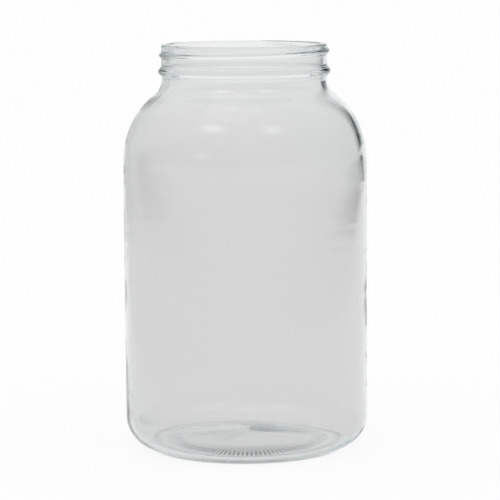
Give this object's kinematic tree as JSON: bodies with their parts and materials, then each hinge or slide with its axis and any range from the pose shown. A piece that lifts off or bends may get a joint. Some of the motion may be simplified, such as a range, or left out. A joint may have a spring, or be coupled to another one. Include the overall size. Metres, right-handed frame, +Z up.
{
  "type": "wide mouth glass jug",
  "caption": "Clear glass jug for storing and pouring, with a straight round body, a full heel, a long shoulder and a wide threaded mouth.",
  "frame": {"origin": "middle of the base, in the plane of the bearing ring that the jug stands on", "axes": "+Z up along the jug's axis, -Y towards the front, with the ends of the thread at the back"},
  "size_m": [0.156, 0.156, 0.259],
  "materials": {
    "glass": "clear polished soda-lime glass, faint green where it is thick"
  },
  "bodies": {
    "root": {"glass_jug": "glass"}
  },
  "joints": []
}
